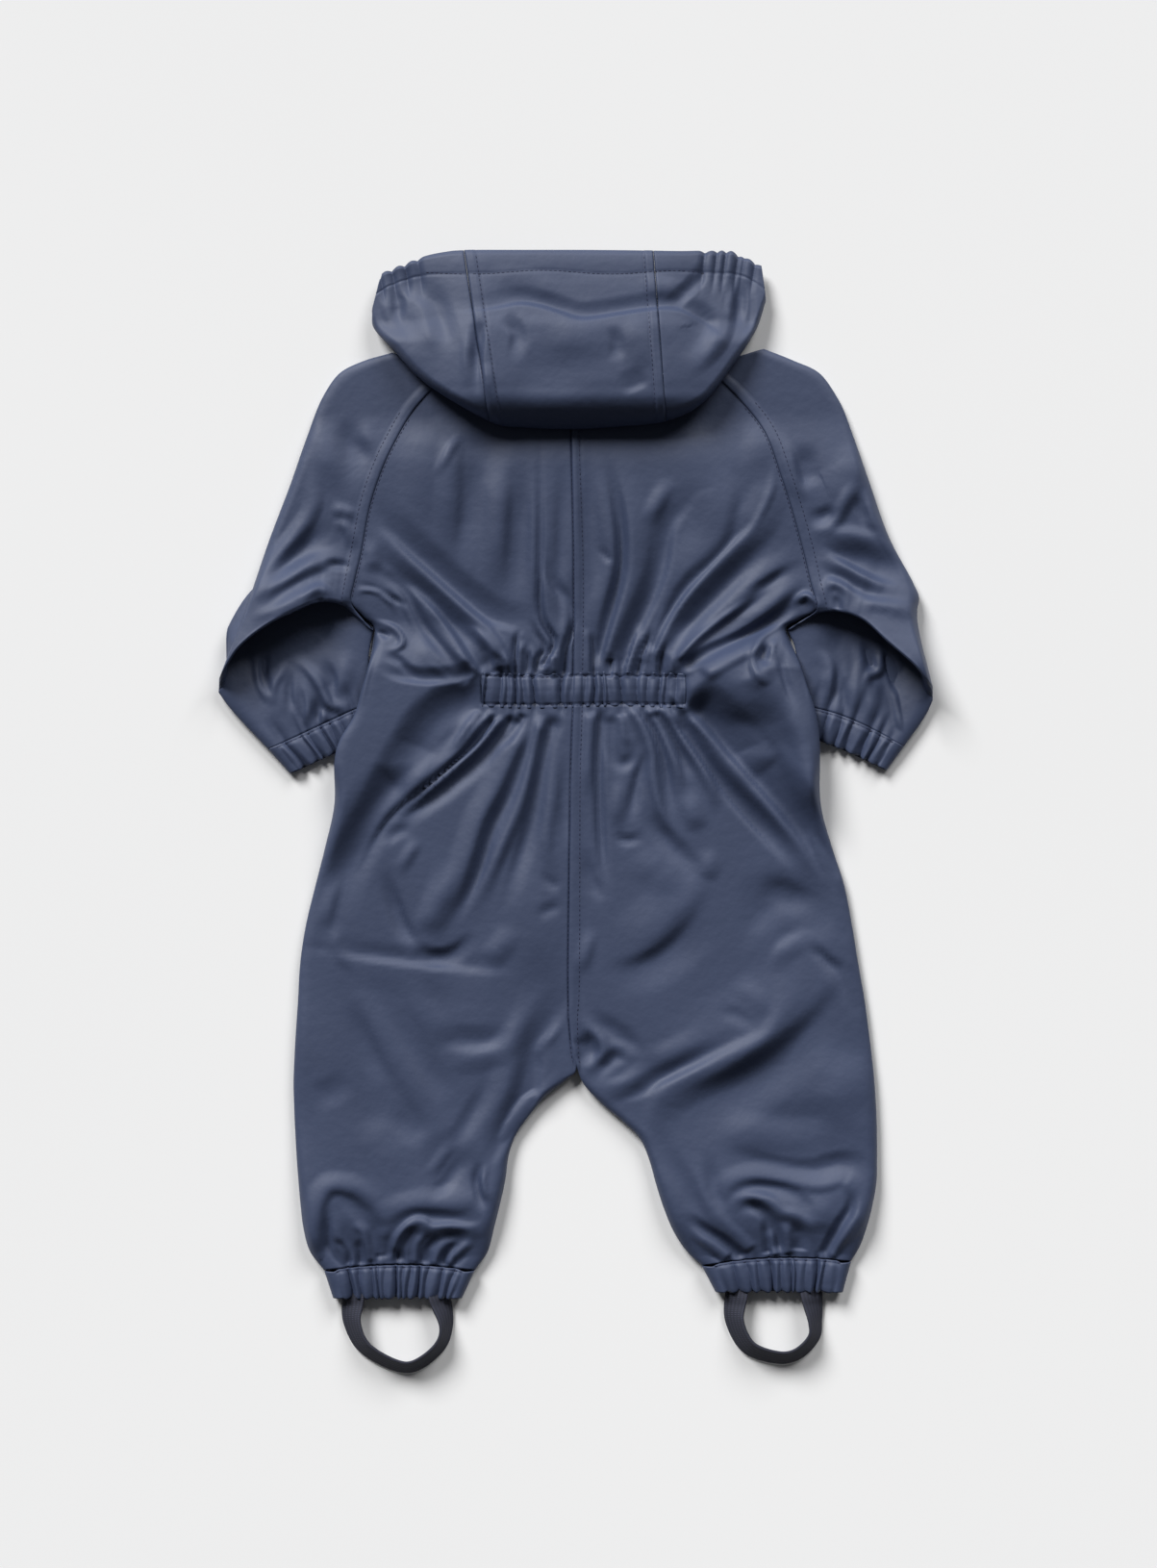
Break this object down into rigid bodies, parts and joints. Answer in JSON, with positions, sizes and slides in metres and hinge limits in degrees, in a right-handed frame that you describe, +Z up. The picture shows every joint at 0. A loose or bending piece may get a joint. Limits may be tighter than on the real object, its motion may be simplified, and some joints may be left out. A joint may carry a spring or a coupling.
{
  "type": "hooded puddle suit laid flat",
  "caption": "Child's hooded puddle suit of coated cloth, laid flat with its back up: gathered waist, elastic cuffs and hems, forearms folded under, foot stirrups.",
  "frame": {"origin": "on the surface that the garment lies on, under the middle of its bounding box", "axes": "+Z up from the surface, +Y along the garment's length from the legs to the hood, +X across it to the wearer's right as the back is up"},
  "size_m": [0.468, 0.7353, 0.0382],
  "materials": {
    "coated_cloth": "satin",
    "stirrup_webbing": "matte"
  },
  "bodies": {
    "root": {"back_left": "coated_cloth", "back_right": "coated_cloth", "front_left": "coated_cloth", "front_right": "coated_cloth", "front_closure": "coated_cloth", "sleeve_back_left": "coated_cloth", "sleeve_back_right": "coated_cloth", "sleeve_front_left": "coated_cloth", "sleeve_front_right": "coated_cloth", "cuff_left": "coated_cloth", "cuff_right": "coated_cloth", "leg_hem_left": "coated_cloth", "leg_hem_right": "coated_cloth", "stirrup_left": "stirrup_webbing", "stirrup_right": "stirrup_webbing", "hood_left": "coated_cloth", "hood_center": "coated_cloth", "hood_right": "coated_cloth", "waist_casing": "coated_cloth"}
  },
  "joints": []
}
